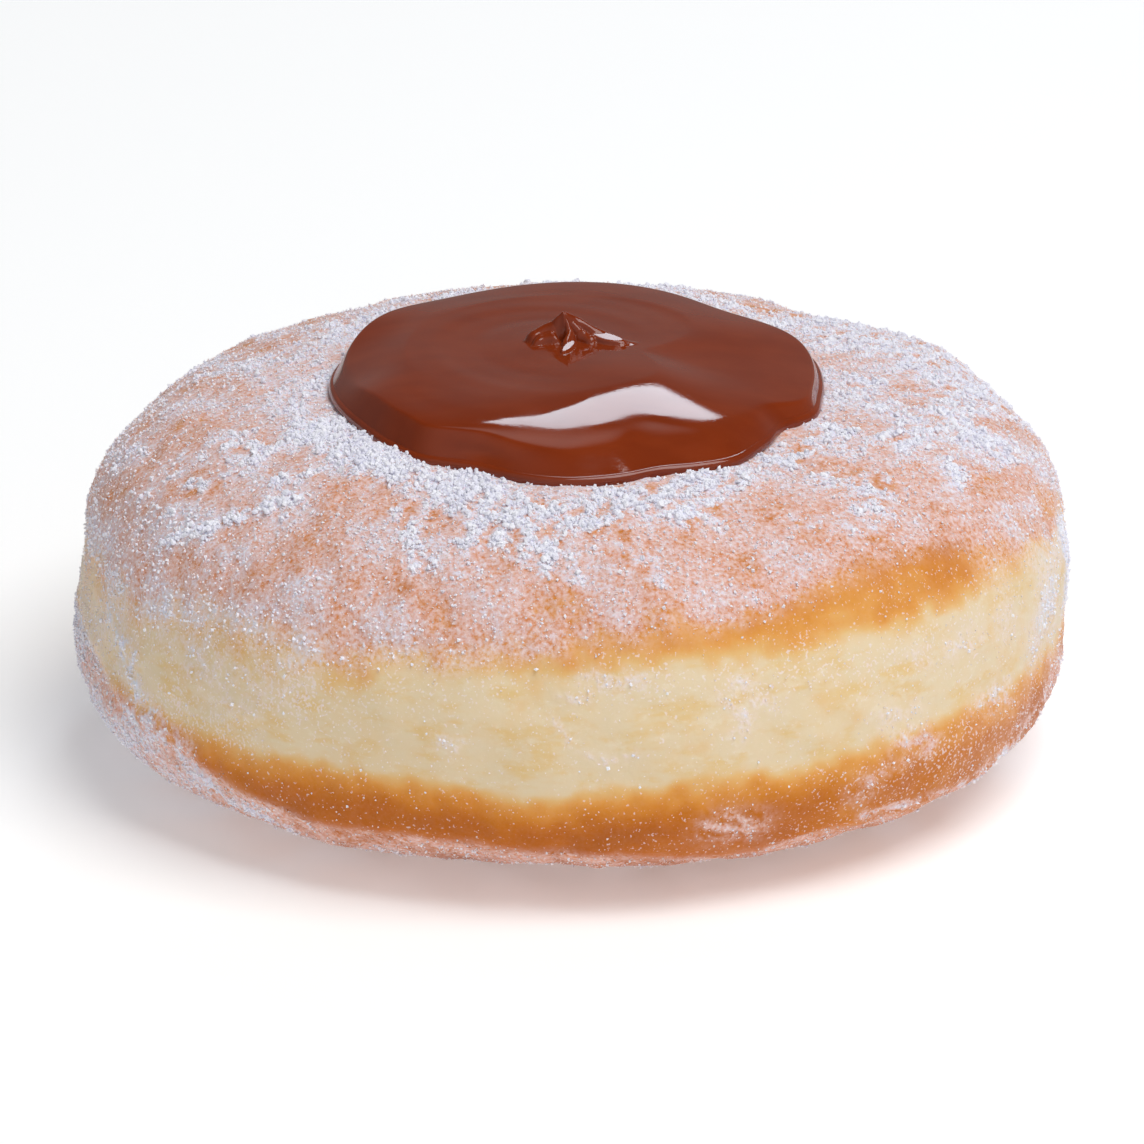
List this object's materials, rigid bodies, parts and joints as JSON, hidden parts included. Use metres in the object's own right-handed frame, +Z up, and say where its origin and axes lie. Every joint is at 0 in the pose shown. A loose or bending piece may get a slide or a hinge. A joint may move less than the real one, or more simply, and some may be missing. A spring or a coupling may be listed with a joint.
{
  "type": "chocolate filled doughnut",
  "caption": "Round fried bun with browned crusts and a pale belt, dusted with sugar, with a pool of glossy chocolate cream pulled to a peak on its crown.",
  "frame": {"origin": "middle of the flat foot that the bun rests on", "axes": "+Z up through the bun and its pool of cream, -Y towards the front, where the cream reaches furthest, +X to the right as seen from the front"},
  "size_m": [0.0874, 0.0886, 0.0392],
  "materials": {
    "fried_dough": "soft matte crust, golden brown above and below a pale cream belt",
    "chocolate_cream": "wet gloss, smooth milk chocolate cream",
    "powdered_sugar": "dry matte white powder in clumps and single grains"
  },
  "bodies": {
    "root": {"bun": "fried_dough", "chocolate_topping": "chocolate_cream"}
  },
  "joints": []
}
